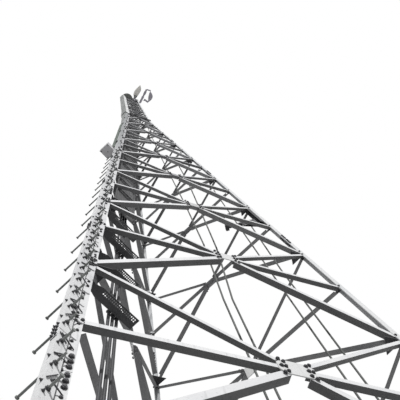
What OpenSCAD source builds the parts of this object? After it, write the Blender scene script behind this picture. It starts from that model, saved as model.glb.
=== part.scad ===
// Self-supporting lattice tower: three corner legs of 60 degree angle section, faces X-braced with
// bolted centre gussets, a tapered shaft under a slim top shaft, a climbing leg with a channel
// stile and step bolts, and a feeder run on slotted trays. Millimetres, +Z up, real size.
// The origin is the middle of the underside of foot plate A.

/* [Shaft] */
// height of one braced panel
panel_h = 2800; // [2000:50:3200]
// number of full panels above the base panel
panel_count = 8; // [4:1:9]
// heel circle radius of the legs at the ground
heel_r0 = 2419; // [1800:1:3200]
// heel circle radius at the bend, where the steep taper ends
heel_r1 = 587; // [450:1:1200]
// heel circle radius at the very top
heel_r2 = 490; // [300:1:900]
// height of one panel of the slim top shaft
top_panel_h = 1120; // [900:20:1400]
// number of panels in the slim top shaft
top_panels = 9; // [2:1:10]

/* [Legs] */
// flange width of the leg angles
leg_w = 88; // [70:1:160]
// leg angle thickness
leg_t = 10; // [6:1:20]
// flange width of the top shaft's leg angles
top_leg_w = 80; // [60:1:120]
// top shaft leg thickness
top_leg_t = 8; // [5:1:14]
// length of a leg splice plate
splice_l = 460; // [300:10:800]

/* [Bracing] */
// leg width of the lower diagonals' angles
diag_w = 75; // [60:1:100]
// leg width of the horizontals' angles
horiz_w = 60; // [50:1:80]
// leg width of the upper diagonals' angles
upper_w = 50; // [45:1:70]
// bracing angle thickness
brace_t = 6; // [4:1:12]
// leg width of the bracing angles in the top shaft
top_brace_w = 50; // [35:1:70]
// distance from the panel centre at which every brace stops
centre_gap = 80; // [60:1:160]
// centre gusset width
gusset_w = 330; // [200:5:460]
// centre gusset height
gusset_h = 215; // [120:5:300]

/* [Climbing side] */
// outer width of the channel stile
nose_w = 69; // [50:1:110]
// depth of the stile, from its nose to the leg heel
rail_out = 90; // [60:1:140]
// stile plate thickness
rail_t = 5; // [4:1:10]
// step bolt diameter
step_d = 18; // [14:1:25]
// reach of a left step bolt's tip from the leg's middle line
step_reach = 269; // [180:1:320]
// reach of the short right step bolts
step_short = 140; // [100:1:320]
// vertical spacing of step bolts on one side
step_pitch = 585; // [300:5:700]
// height of the first left step bolt
step_z0 = 3103; // [2000:1:4000]
// feeder tray length
feeder_l = 556; // [300:2:700]
// feeder tray width
feeder_w = 116; // [60:1:160]
// height of the lowest feeder tray
feeder_z0 = 6533; // [4000:1:8000]
// feeder cable diameter
feeder_d = 30; // [14:1:50]

/* [Feet] */
// foot plate side
foot_w = 360; // [300:5:600]
// foot plate thickness
foot_t = 25; // [16:1:50]
// anchor hole spacing, both ways
anchor_s = 270; // [200:5:500]
// anchor hole diameter
anchor_d = 33; // [20:1:50]

/* [Hidden] */
foot_r = heel_r0 - 45;
ax = foot_r * cos(30);
ay = foot_r * sin(30);
z_l0 = 1.5 * panel_h;
z_bend = z_l0 + (panel_count + 0.5) * panel_h;
z_top = z_bend + top_panels * top_panel_h;
slope1 = (heel_r0 - heel_r1) / z_bend;
slope2 = (heel_r1 - heel_r2) / (z_top - z_bend);
lean1 = atan(slope1);
lean2 = atan(slope2);
tilt1 = atan(slope1 / 2);
tilt2 = atan(slope2 / 2);
cut_z = z_l0 + 0.25 * panel_h;
z_box = 15400;
box_s = 250;
box_h = 320;
hood_z = 22640;
hood_h = 5660;
// how far brace ends stay from the heel line, and from the level line above or below
end_in = 68;
end_up = 62;
// where the inner corners of the leg flanges stop, seen from the heel
leg_in = 82;
steel = [0.80, 0.81, 0.82];
dark = [0.45, 0.46, 0.47];
box_grey = [0.50, 0.51, 0.52];
cream = [0.82, 0.80, 0.74];
duct_green = [0.36, 0.40, 0.37];
leg_az = [210, 330, 90];

// ---- frames ----
// a leg's own frame: x away from the tower's middle, y round it, z up along the heel line
module on_leg(i) translate([ax, ay, 0]) rotate([0, 0, leg_az[i]]) translate([heel_r0, 0, 0])
  rotate([0, -lean1, 0]) children();
module on_top_leg(i) translate([ax, ay, z_bend]) rotate([0, 0, leg_az[i]]) translate([heel_r1, 0, 0])
  rotate([0, -lean2, 0]) children();
// a face's own frame: x to the right, y up the slope, z straight out of the face
module on_face(i) translate([ax, ay, 0]) rotate([0, 0, 120 * i]) translate([0, -heel_r0 / 2, 0])
  rotate([90 - tilt1, 0, 0]) children();
module on_top_face(i) translate([ax, ay, z_bend]) rotate([0, 0, 120 * i]) translate([0, -heel_r1 / 2, 0])
  rotate([90 - tilt2, 0, 0]) children();
function v1(z) = z / cos(tilt1);
function v2(z) = (z - z_bend) / cos(tilt2);
function hw1(z) = cos(30) * (heel_r0 - slope1 * z);
function hw2(z) = cos(30) * (heel_r1 - slope2 * (z - z_bend));
function z_cross(za, zb) = za + (zb - za) * hw1(za) / (hw1(za) + hw1(zb));
function lv(n) = z_l0 + n * panel_h;

// ---- profiles ----
// leg: heel outwards, both flanges lying in the planes of the two faces
module leg_profile(lean, w, t) {
  h = atan(tan(30) / cos(lean));
  polygon([[0, 0], [-w * cos(h), w * sin(h)], [-w * cos(h) - t * sin(h), w * sin(h) - t * cos(h)],
    [-t / sin(h), 0], [-w * cos(h) - t * sin(h), -w * sin(h) + t * cos(h)], [-w * cos(h), -w * sin(h)]]);
}
// stile: a channel with its open side to the leg, in the same frame as the leg
module rail_profile(t) {
  c = nose_w / 2;
  polygon([[0, -c], [rail_out, -c], [rail_out, c], [0, c], [0, c - t], [rail_out - t, c - t],
    [rail_out - t, -c + t], [0, -c + t]]);
}
// an equal angle in a face frame from p to q, p being the left end: one flange flat against the
// face, the other standing inwards along the lower edge, coped by c0 and c1 at the ends
module bar(p, q, w, t, z0, c0, c1) {
  d = q - p;
  translate([p[0], p[1], z0]) rotate([0, 0, atan2(d[1], d[0])]) rotate([90, 0, 90]) {
    linear_extrude(norm(d)) translate([-w / 2, -t]) square([w, t]);
    translate([0, 0, c0]) linear_extrude(norm(d) - c0 - c1) translate([-w / 2, -w]) square([t, w - t / 2]);
  }
}
// cope at a leg: faces BC and CA are cut back far enough to clear the whole flange of the next face
function cope(i, w, t, e, k) = i == 0 ? 10 : ((t + w) * tan(60) + 8 - e) / k;

// ---- feet ----
module foot(i) {
  px = ax + foot_r * cos(leg_az[i]);
  py = ay + foot_r * sin(leg_az[i]);
  color(steel) difference() {
    union() {
      translate([px - foot_w / 2, py - foot_w / 2, 0]) cube([foot_w, foot_w, foot_t]);
      // stub angle inside the leg, standing on the plate
      intersection() {
        on_leg(i) {
          h = atan(tan(30) / cos(lean1));
          for (s = [-1, 1]) rotate([0, 0, s * (180 - h)])
            translate([34, s > 0 ? leg_t : -leg_t - 12, 0]) cube([120, 12, 330]);
        }
        translate([px - 600, py - 600, 10]) cube([1200, 1200, 600]);
      }
    }
    for (x = [-1, 1], y = [-1, 1]) translate([px + x * anchor_s / 2, py + y * anchor_s / 2, -1])
      cylinder(h = foot_t + 2, d = anchor_d, $fn = 48);
  }
}
module foot_a() foot(0);
module foot_b() foot(1);
module foot_c() foot(2);

// ---- legs ----
module leg_run(i, za, zb) on_leg(i) translate([0, 0, za / cos(lean1)])
  linear_extrude((zb - za) / cos(lean1)) leg_profile(lean1, leg_w, leg_t);
module top_leg_run(i, za, zb) on_top_leg(i) translate([0, 0, (za - z_bend) / cos(lean2)])
  linear_extrude((zb - za) / cos(lean2)) leg_profile(lean2, top_leg_w, top_leg_t);
module leg_lower(i) color(steel) {
  leg_run(i, foot_t + 5, cut_z - 3);
  leg_run(i, cut_z + 3, cut_z + 2 * panel_h - 3);
  leg_run(i, cut_z + 2 * panel_h + 3, cut_z + 4 * panel_h - 3);
}
module leg_upper(i) color(steel) {
  leg_run(i, cut_z + 4 * panel_h + 3, cut_z + 6 * panel_h - 3);
  leg_run(i, cut_z + 6 * panel_h + 3, z_bend - 14);
}
module leg_a_lower() leg_lower(0);
module leg_b_lower() leg_lower(1);
module leg_c_lower() leg_lower(2);
module leg_a_upper() leg_upper(0);
module leg_b_upper() leg_upper(1);
module leg_c_upper() leg_upper(2);
module top_legs() color(steel) for (i = [0 : 2]) {
  top_leg_run(i, z_bend + 14, z_bend + 4 * top_panel_h - 3);
  top_leg_run(i, z_bend + 4 * top_panel_h + 3, z_top - 10);
}
// splices: a flat plate inside each flange at every leg joint
module splice_set(i) color(steel) on_leg(i) {
  h = atan(tan(30) / cos(lean1));
  for (k = [0 : 3]) translate([0, 0, (cut_z + 2 * k * panel_h) / cos(lean1) - splice_l / 2])
    for (s = [-1, 1]) rotate([0, 0, s * (180 - h)])
      translate([36, s > 0 ? leg_t : -leg_t - 8, 0]) cube([leg_w - 40, 8, splice_l]);
}
module splices() for (i = [0 : 2]) splice_set(i);
// stiffeners: a three-cornered plate in the angle of every leg at every level
module leg_stiffeners() color(steel) for (i = [0 : 2], n = [0 : panel_count])
  on_leg(i) translate([0, 0, lv(n) / cos(lean1) - 5]) linear_extrude(10)
    polygon([[-23, 0], [-220, 113], [-220, -113]]);

// ---- faces ----
// six half braces of one X panel: every brace stops at the centre gap, and the diagonals are
// mitred along the horizontals, so that no two angles pass through each other
module x_panel(i, za, zb, less, half) {
  wd = diag_w - less;
  wh = horiz_w - less;
  wu = upper_w - less;
  zc = half ? zb - 60 : z_cross(za, zb);
  c = [0, v1(zc)];
  m = hw1(zc) - end_in;
  pa = [-hw1(za) + end_in, v1(za) + end_up];
  pb = [-hw1(zb) + end_in, v1(zb) - end_up];
  ch = cope(i, wh, leg_t, end_in, 1);
  cd = cope(i, wd, leg_t, end_in, cos(atan((c[1] - pa[1]) / -pa[0])));
  cu = cope(i, wu, leg_t, end_in, cos(atan((pb[1] - c[1]) / -pb[0])));
  bar([-m, c[1]], [-centre_gap, c[1]], wh, brace_t, -leg_t, ch, 0);
  bar([centre_gap, c[1]], [m, c[1]], wh, brace_t, -leg_t, 0, ch);
  difference() {
    union() {
      bar(pa, c, wd, brace_t + 1, -leg_t, cd, 0);
      bar(c, [-pa[0], pa[1]], wd, brace_t + 1, -leg_t, 0, cd);
      if (!half) {
        bar(pb, c, wu, brace_t - 1, -leg_t, cu, 0);
        bar(c, [-pb[0], pb[1]], wu, brace_t - 1, -leg_t, 0, cu);
      }
    }
    translate([-centre_gap, c[1] - 300, -leg_t - 120]) cube([2 * centre_gap, 600, 140]);
    translate([-600, c[1] - wh / 2 - 3, -leg_t - 120]) cube([1200, wh + 6, 140]);
  }
}
module face_low(i) color(steel) on_face(i) {
  x_panel(i, 300, z_l0, 0, false);
  for (n = [0, 1]) x_panel(i, lv(n), lv(n + 1), 0, false);
}
module face_mid(i) color(steel) on_face(i) for (n = [2 : 4]) x_panel(i, lv(n), lv(n + 1), 0, false);
module face_high(i) color(steel) on_face(i) {
  for (n = [5 : panel_count - 1]) x_panel(i, lv(n), lv(n + 1), 5, false);
  x_panel(i, lv(panel_count), z_bend, 5, true);
}
module face_ab_low() face_low(0);
module face_bc_low() face_low(1);
module face_ca_low() face_low(2);
module face_ab_mid() face_mid(0);
module face_bc_mid() face_mid(1);
module face_ca_mid() face_mid(2);
module face_ab_high() face_high(0);
module face_bc_high() face_high(1);
module face_ca_high() face_high(2);
// top shaft: a horizontal and one diagonal per panel, the diagonals going back and forth
module top_face(i) color(steel) on_top_face(i) {
  w = top_brace_w;
  h = (z_top - z_bend - 200) / top_panels;
  e = 46;
  g = w + 16;
  ch = cope(i, w, top_leg_t, e, 1);
  for (n = [0 : top_panels]) {
    z = z_bend + 120 + n * h;
    a = hw2(z) - e;
    b = hw2(z + h) - e;
    cd = ch * norm([a + b, h - 2 * g]) / (a + b);
    bar([-a, v2(z)], [a, v2(z)], w, 5, -top_leg_t, ch, ch);
    if (n < top_panels) {
      if (n % 2 == 0) bar([-a, v2(z) + g], [b, v2(z + h) - g], w, 5, -top_leg_t, cd, cd);
      else bar([-b, v2(z + h) - g], [a, v2(z) + g], w, 5, -top_leg_t, cd, cd);
    }
  }
}
module top_face_ab() top_face(0);
module top_face_bc() top_face(1);
module top_face_ca() top_face(2);
// centre gussets: one clipped plate over the brace ends of each X panel
module gusset(z) translate([0, v1(z), -leg_t]) linear_extrude(9)
  polygon([[-gusset_w / 2, -gusset_h / 4], [-gusset_w / 3, -gusset_h / 2], [gusset_w / 3, -gusset_h / 2],
    [gusset_w / 2, -gusset_h / 4], [gusset_w / 2, gusset_h / 4], [gusset_w / 3, gusset_h / 2],
    [-gusset_w / 3, gusset_h / 2], [-gusset_w / 2, gusset_h / 4]]);
module gusset_set(i) color(steel) on_face(i) {
  gusset(z_cross(300, z_l0));
  for (n = [0 : panel_count - 1]) gusset(z_cross(lv(n), lv(n + 1)));
  gusset(z_bend - 80);
}
module gussets_ab() gusset_set(0);
module gussets_bc() gusset_set(1);
module gussets_ca() gusset_set(2);

// ---- bend and top frames ----
// flat triangular frame between the two shafts, and one closing the top
module tri(r, cut) polygon([for (k = [0 : 2]) for (s = [-1, 1])
  [r * cos(leg_az[k]) - s * cut * sin(leg_az[k]), r * sin(leg_az[k]) + s * cut * cos(leg_az[k])]]);
module bend_frame() color(steel) translate([ax, ay, z_bend - 9]) linear_extrude(18) difference() {
  tri(heel_r1 + 24, 46);
  tri(heel_r1 - 190, 30);
}
// top plate: the frame grown into a round landing over leg A's side, with a hatch
module top_frame() color(steel) translate([ax, ay, z_top - 10]) linear_extrude(10) difference() {
  union() {
    tri(heel_r2 + 14, 40);
    translate([-240, -130]) circle(r = 340, $fn = 96);
  }
  translate([50, 30]) circle(r = 180, $fn = 96);
}

// ---- climbing leg ----
module guard_rail() color(steel) {
  on_leg(0) for (k = [0 : 8]) translate([0, 0, (2500 + k * panel_h) / cos(lean1)])
    linear_extrude(panel_h / cos(lean1) - 8) rail_profile(rail_t);
  on_top_leg(0) for (k = [0 : 3]) translate([0, 0, 60 + k * 2500]) linear_extrude(2492) rail_profile(rail_t);
}
// notched plates that hold the stile off the leg's heel
module stand_off() linear_extrude(10) polygon([[rail_out - rail_t, -29], [rail_out - rail_t, 29],
  [0, 29], [-34, 40], [-34, 20.3], [0, 0.2], [-34, -20.3], [-34, -40], [0, -29]]);
module rail_stand_offs() color(steel) {
  on_leg(0) for (k = [0 : 17]) translate([0, 0, (2900 + k * panel_h / 2) / cos(lean1)]) stand_off();
  on_top_leg(0) for (k = [0 : 6]) translate([0, 0, 500 + k * 1400]) stand_off();
}
// step bolts stand out sideways from the stile, left and right in turn
module step_bolts() color(steel) on_leg(0) for (n = [0 : 40]) {
  s = n % 2 == 0 ? -1 : 1;
  l = (s < 0 ? step_reach : step_short) - nose_w / 2;
  translate([50, s * nose_w / 2, (step_z0 + n * step_pitch / 2) / cos(lean1)]) rotate([s * -90, 0, 0]) {
    cylinder(h = l, d = step_d, $fn = 24);
    translate([0, 0, l]) cylinder(h = 9, d = step_d + 12, $fn = 24);
  }
}

// ---- feeder run ----
// a level tray reaching inwards from leg A, with a row of slots, a lip and a root plate
module feeder_tray(z) on_leg(0) translate([-leg_in, 0, z / cos(lean1)]) rotate([0, 0, 180]) {
  translate([0, -50, -30]) cube([8, 100, 60]);
  rotate([0, -lean1, 0]) {
    linear_extrude(6) difference() {
      polygon([[4, -24], [108, -feeder_w / 2], [feeder_l, -feeder_w / 2], [feeder_l, feeder_w / 2],
        [108, feeder_w / 2], [4, 24]]);
      for (k = [0 : 3]) translate([200 + k * 70, -feeder_w / 2 + 18]) square([40, 20]);
    }
    translate([120, feeder_w / 2 - 5, 0]) cube([feeder_l - 120, 5, 28]);
  }
}
module feeder_trays(a, b) color(dark) for (k = [a : b]) feeder_tray(feeder_z0 + k * panel_h / 3);
module feeder_brackets_low() feeder_trays(0, 10);
module feeder_brackets_high() feeder_trays(11, 22);
// feeder cables beside the trays
module feeder_cables() color(dark) on_leg(0) for (k = [0 : 2])
  translate([-390 - k * 48, -feeder_w / 2 - feeder_d / 2 - 3, 1800])
    cylinder(h = z_bend / cos(lean1) - 1940, d = feeder_d, $fn = 24);

// ---- box and riser ----
// sheet box on leg A, its cable hole underneath
module junction_box() color(box_grey) on_leg(0)
  translate([5, -325, z_box / cos(lean1)]) difference() {
    cube([box_s, box_s, box_h]);
    translate([3, 3, 3]) cube([box_s - 6, box_s - 6, box_h - 6]);
    translate([box_s / 2, box_s / 2, -1]) cylinder(h = 5, d = 60, $fn = 32);
  }
// open-ended rectangular duct of 3 mm sheet
module duct(x, y, h) linear_extrude(h) difference() {
  square([x, y]);
  translate([3, 3]) square([x - 6, y - 6]);
}
module riser_duct() color(duct_green) on_leg(0)
  translate([50, -145, z_box / cos(lean1) + box_h + 2]) duct(60, 108, hood_z - 40 - z_box - box_h);
// cover plates: a three-sided hood that widens from the duct to the bend, and a straight cover above
module top_cover() color(steel) {
  on_leg(0) translate([40, 0, hood_z]) rotate([90, 0, 90]) difference() {
    linear_extrude(55) polygon([[-37, 0], [-125, 0], [-285, hood_h], [-37, hood_h]]);
    translate([0, 0, -1]) linear_extrude(53)
      polygon([[-40, -1], [-122, -1], [-282, hood_h + 1], [-40, hood_h + 1]]);
  }
  on_top_leg(0) translate([92, -215, 50]) duct(73, 220, 9700);
}
// straps behind the duct and cover, and two blocks behind the box, all against the stile
module duct_clamps() color(steel) {
  on_leg(0) {
    for (z = [60, 230]) translate([20, -75, z_box / cos(lean1) + z]) cube([24, 75 - nose_w / 2, 24]);
    for (k = [0 : 4]) translate([42, -145, (16200 + k * panel_h / 2) / cos(lean1)])
      cube([8, 145 - nose_w / 2, 30]);
    for (z = [23000, 25300, 27600]) translate([45, -37, z]) cube([30, 37 - nose_w / 2, 30]);
  }
  on_top_leg(0) for (k = [0 : 6]) translate([90, -215, 700 + k * 1400]) cube([2, 215, 30]);
}

// ---- inner conduits ----
module line(p, q, d) {
  v = q - p;
  translate([ax, ay, 0]) translate(p) rotate([0, acos(v[2] / norm(v)), atan2(v[1], v[0])])
    cylinder(h = norm(v), d = d, $fn = 20);
}
// a rigid conduit standing on its own base plate, set a little out of plumb above
module conduit(points, d) {
  translate([ax + points[0][0], ay + points[0][1], 0]) cylinder(h = 12, d = 140, $fn = 48);
  for (k = [1 : len(points) - 1]) line(points[k - 1], points[k], d);
}
module inner_conduits() color(dark) {
  conduit([[310, -188, 0], [310, -188, 9000], [310, -290, 11000], [310, -290, 13600], [310, -187, 20000],
    [310, -187, 27900]], 26);
  conduit([[430, -217, 0], [430, -217, 9000], [430, -399, 10600], [430, -556, 14500],
    [430, -556, 17200]], 26);
  conduit([[903, -655, 0], [903, -655, 9000], [903, -662, 14040]], 22);
  conduit([[1067, -690, 0], [1067, -699, 9300], [1067, -750, 11230]], 22);
}
// square arm reaching inwards from leg B, with a small block at its end
module side_arm() color(dark) on_leg(1) translate([-leg_in, 20, 11900 / cos(lean1)]) rotate([0, 0, 180]) {
  translate([0, -40, -30]) cube([8, 80, 60]);
  rotate([0, -lean1, 0]) {
    translate([4, 25, -25]) rotate([90, 0, 90]) linear_extrude(560) translate([-50, 0]) difference() {
      square([50, 50]);
      translate([4, 4]) square([42, 42]);
    }
    translate([564, -55, -45]) cube([60, 110, 90]);
  }
}

// ---- antennas ----
// flat leaf-shaped antenna lying outwards from face AB at the top
module leaf(l, w) {
  r = (l * l + w * w) / w / 4;
  intersection() {
    translate([0, r - w / 2]) circle(r = r, $fn = 96);
    translate([0, -r + w / 2]) circle(r = r, $fn = 96);
  }
}
module panel_antenna() color(cream) translate([ax + 203, ay - 799, z_top - 620]) rotate([0, 0, -83])
  difference() {
    linear_extrude(60) leaf(794, 330);
    translate([0, 0, 5]) linear_extrude(50) leaf(770, 318);
    translate([-150, 0, -1]) cylinder(h = 8, d = 30, $fn = 24);
  }
// a post clamped across two horizontals carries the leaf; a gooseneck from leg B the dish
module antenna_arms() color(steel) {
  translate([ax + 155, ay - 300, z_top - 1230]) cylinder(h = 1200, d = 60, $fn = 32);
  for (z = [36902, 38000]) translate([ax + 135, ay - 272, z - 30])
    cube([40, 272 + top_leg_t - hw2(z) * tan(30), 60]);
  translate([ax + 128, ay - 410, z_top - 626]) cube([60, 90, 72]);
  for (z = [z_top - 626, z_top - 560]) translate([ax + 133, ay - 520, z]) cube([50, 115, 6]);
  line([437, -268, 36300], [506, -659, 36300], 95);
  line([506, -659, 36300], [586, -1116, 36300], 70);
  line([586, -1116, 36300], [835, -1118, 36300], 50);
}
// shallow dish and its thin cover, their axis level
module reflector() color(box_grey) translate([ax + 843, ay - 777, 36300]) rotate([0, 0, -6])
  rotate([0, 90, 0]) {
    rotate_extrude($fn = 96) intersection() {
      difference() {
        translate([0, -156]) circle(r = 356, $fn = 96);
        translate([0, -156]) circle(r = 350, $fn = 96);
      }
      square([400, 300]);
    }
    rotate_extrude($fn = 96) intersection() {
      difference() {
        translate([0, 755]) circle(r = 820, $fn = 96);
        translate([0, 755]) circle(r = 816, $fn = 96);
      }
      translate([0, -80]) square([316, 79]);
    }
  }

foot_a();
foot_b();
foot_c();
leg_a_lower();
leg_b_lower();
leg_c_lower();
leg_a_upper();
leg_b_upper();
leg_c_upper();
top_legs();
splices();
leg_stiffeners();
face_ab_low();
face_bc_low();
face_ca_low();
face_ab_mid();
face_bc_mid();
face_ca_mid();
face_ab_high();
face_bc_high();
face_ca_high();
top_face_ab();
top_face_bc();
top_face_ca();
gussets_ab();
gussets_bc();
gussets_ca();
bend_frame();
top_frame();
guard_rail();
rail_stand_offs();
step_bolts();
feeder_brackets_low();
feeder_brackets_high();
feeder_cables();
junction_box();
riser_duct();
top_cover();
duct_clamps();
inner_conduits();
side_arm();
panel_antenna();
antenna_arms();
reflector();
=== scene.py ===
"""Looks for the lattice tower: viewer, daylight, zinc and paint finishes, bolts and small fittings."""

import math

import bmesh
import bpy
from mathutils import Matrix, Vector


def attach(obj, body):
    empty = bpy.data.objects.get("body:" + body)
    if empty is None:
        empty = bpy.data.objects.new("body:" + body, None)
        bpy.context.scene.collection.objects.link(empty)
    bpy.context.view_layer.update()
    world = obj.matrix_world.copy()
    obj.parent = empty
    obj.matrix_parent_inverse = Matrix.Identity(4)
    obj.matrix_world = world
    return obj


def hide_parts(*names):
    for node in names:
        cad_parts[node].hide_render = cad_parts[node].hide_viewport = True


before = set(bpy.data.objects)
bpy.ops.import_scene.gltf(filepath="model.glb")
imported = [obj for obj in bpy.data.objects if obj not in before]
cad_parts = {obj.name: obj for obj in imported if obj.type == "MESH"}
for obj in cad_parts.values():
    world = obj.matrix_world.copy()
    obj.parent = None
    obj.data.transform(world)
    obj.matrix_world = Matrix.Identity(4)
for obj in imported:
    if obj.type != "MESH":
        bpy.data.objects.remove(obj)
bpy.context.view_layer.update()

# ---- Viewer ----
# Somebody of ordinary height stands just outside face AB, close to the climbing leg, and looks
# steeply up the tower. Lengths are metres, the height of the eye being 1.64 m above the plates.
EYE = Vector((0.0243, -1.7483, 1.6385))
LOOK_AZIMUTH, LOOK_UP, ROLL = (math.radians(angle) for angle in (43.39, 73.27, -29.71))

viewer = bpy.data.objects.new("viewer", bpy.data.cameras.new("viewer"))
viewer.data.lens, viewer.data.sensor_width = 54.0, 36.0
viewer.data.clip_start, viewer.data.clip_end = 0.05, 200.0
gaze = Matrix.Rotation(LOOK_AZIMUTH - math.pi / 2, 4, "Z") @ Matrix.Rotation(LOOK_UP + math.pi / 2, 4, "X")
viewer.matrix_world = Matrix.Translation(EYE) @ gaze @ Matrix.Rotation(ROLL, 4, "Z")
bpy.context.scene.collection.objects.link(viewer)
bpy.context.scene.camera = viewer
bpy.context.scene.view_settings.view_transform = "Standard"


# ---- Daylight and ground ----
# One soft lamp stands for a sun that shines on face AB and the climbing leg, with a weak even sky.
# The ground is a plain pale sheet that throws some of that light back up under the steel. It shows
# paler than it throws, and the sky shows white, so that both make a plain backdrop.
class Tone:
    """Wraps one shader socket, so that surface maths reads as plain expressions."""

    def __init__(self, tree, socket):
        self.tree, self.socket = tree, socket

    def node(self, kind, settings=None, feeds=None, out=0):
        """Any node: its settings first, then each socket's value or link; out names the socket returned."""
        made = self.tree.nodes.new(kind)
        for name, value in (settings or {}).items():
            setattr(made, name, value)
        for name, value in (feeds or {}).items():
            if isinstance(value, Tone):
                self.tree.links.new(value.socket, made.inputs[name])
            else:
                made.inputs[name].default_value = value
        return Tone(self.tree, made.outputs[out])

    def maths(self, operation, first, second):
        return self.node("ShaderNodeMath", {"operation": operation}, {0: first, 1: second})

    def __add__(self, other):
        return self.maths("ADD", self, other)

    def __mul__(self, other):
        return self.maths("MULTIPLY", self, other)

    def __sub__(self, other):
        return self.maths("SUBTRACT", self, other)

    def __rsub__(self, other):
        return self.maths("SUBTRACT", other, self)

    __radd__, __rmul__ = __add__, __mul__

    def most(self, other):
        return self.maths("MAXIMUM", self, other)

    def band(self, low, high):
        """0 below low and 1 above high, with a smooth step between (the other way round if high < low)."""
        return self.node("ShaderNodeMapRange", {"interpolation_type": "SMOOTHSTEP"},
                         {"Value": self, "From Min": low, "From Max": high})

    def paint(self, under, over):
        """Colour over on colour under, this socket being the mask."""
        return self.node("ShaderNodeMix", {"data_type": "RGBA"}, {0: self, 6: under, 7: over}, out=2)


SUN_AZIMUTH, SUN_UP = math.radians(256), math.radians(42)
SUN_POWER, SUN_SPREAD, SKY_POWER = 3.4, math.radians(3), 0.20
SKY_BLUE, SEEN_WHITE = (0.93, 0.96, 1.0, 1.0), (1.0, 1.0, 1.0, 1.0)
GROUND_SIDE, GROUND_SEEN, GROUND_THROWING = 120.0, (0.80, 0.80, 0.79, 1.0), (0.48, 0.48, 0.48, 1.0)

sky = bpy.data.worlds.new("sky")
sky.use_nodes = True
bpy.context.scene.world = sky
sky.node_tree.nodes["Background"].inputs["Color"].default_value = SKY_BLUE
sky.node_tree.nodes["Background"].inputs["Strength"].default_value = SKY_POWER
plain_sky = Tone(sky.node_tree, sky.node_tree.nodes["Background"].outputs[0])


def seen_ray(any_tone):
    """1 for rays that show a backdrop: straight from the viewer, or mirrored, or through glass."""
    path = any_tone.node("ShaderNodeLightPath")
    camera, glossy, clear = (Tone(path.tree, path.socket.node.outputs[name])
                             for name in ("Is Camera Ray", "Is Glossy Ray", "Is Transmission Ray"))
    return camera.most(glossy).most(clear)


white_sky = plain_sky.node("ShaderNodeBackground", {}, {"Color": SEEN_WHITE, "Strength": 1.0})
both_skies = plain_sky.node("ShaderNodeMixShader", {}, {0: seen_ray(plain_sky), 1: plain_sky, 2: white_sky})
sky.node_tree.links.new(both_skies.socket, sky.node_tree.nodes["World Output"].inputs["Surface"])

sun = bpy.data.objects.new("sun", bpy.data.lights.new("sun", "SUN"))
sun.data.energy, sun.data.angle = SUN_POWER, SUN_SPREAD
towards_sun = Vector((math.cos(SUN_AZIMUTH) * math.cos(SUN_UP), math.sin(SUN_AZIMUTH) * math.cos(SUN_UP),
                      math.sin(SUN_UP)))
sun.matrix_world = towards_sun.to_track_quat("Z", "Y").to_matrix().to_4x4()
bpy.context.scene.collection.objects.link(sun)

ground_mesh = bpy.data.meshes.new("ground")
half = GROUND_SIDE / 2
ground_mesh.from_pydata([(-half, -half, 0), (half, -half, 0), (half, half, 0), (-half, half, 0)], [],
                        [(0, 1, 2, 3)])
ground = bpy.data.objects.new("ground", ground_mesh)
bpy.context.scene.collection.objects.link(ground)
ground_finish = bpy.data.materials.new("pale_ground")
ground_finish.use_nodes = True
ground_tree = ground_finish.node_tree
ground_tree.nodes.remove(ground_tree.nodes["Principled BSDF"])
ground_out = Tone(ground_tree, ground_tree.nodes["Material Output"].inputs["Surface"])
lit_side = ground_out.node("ShaderNodeBsdfDiffuse", {}, {"Color": GROUND_SEEN})
dim_side = ground_out.node("ShaderNodeBsdfDiffuse", {}, {"Color": GROUND_THROWING})
ground_mix = ground_out.node("ShaderNodeMixShader", {}, {0: seen_ray(ground_out), 1: dim_side, 2: lit_side})
ground_tree.links.new(ground_mix.socket, ground_out.socket)
ground_mesh.materials.append(ground_finish)

# ---- Foot plates ----
# Three square plates with stub angles, flame-cut, welded and hot-dip galvanised, each set on four
# anchor rods. Two nuts with their washers and the end of the rod stand over every hole.
STEEL_BODY = "root"
ANCHOR_RING = 2.374
MIDDLE = Vector((ANCHOR_RING * math.cos(math.radians(30)), ANCHOR_RING / 2, 0.0))
LEG_TURN = [math.radians(angle) for angle in (210, 330, 90)]


def set_at(x, y, z, turn=0.0):
    """A frame at a point measured from the tower's middle on the ground, turned about the upright."""
    return Matrix.Translation(MIDDLE + Vector((x, y, z))) @ Matrix.Rotation(turn, 4, "Z")


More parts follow.
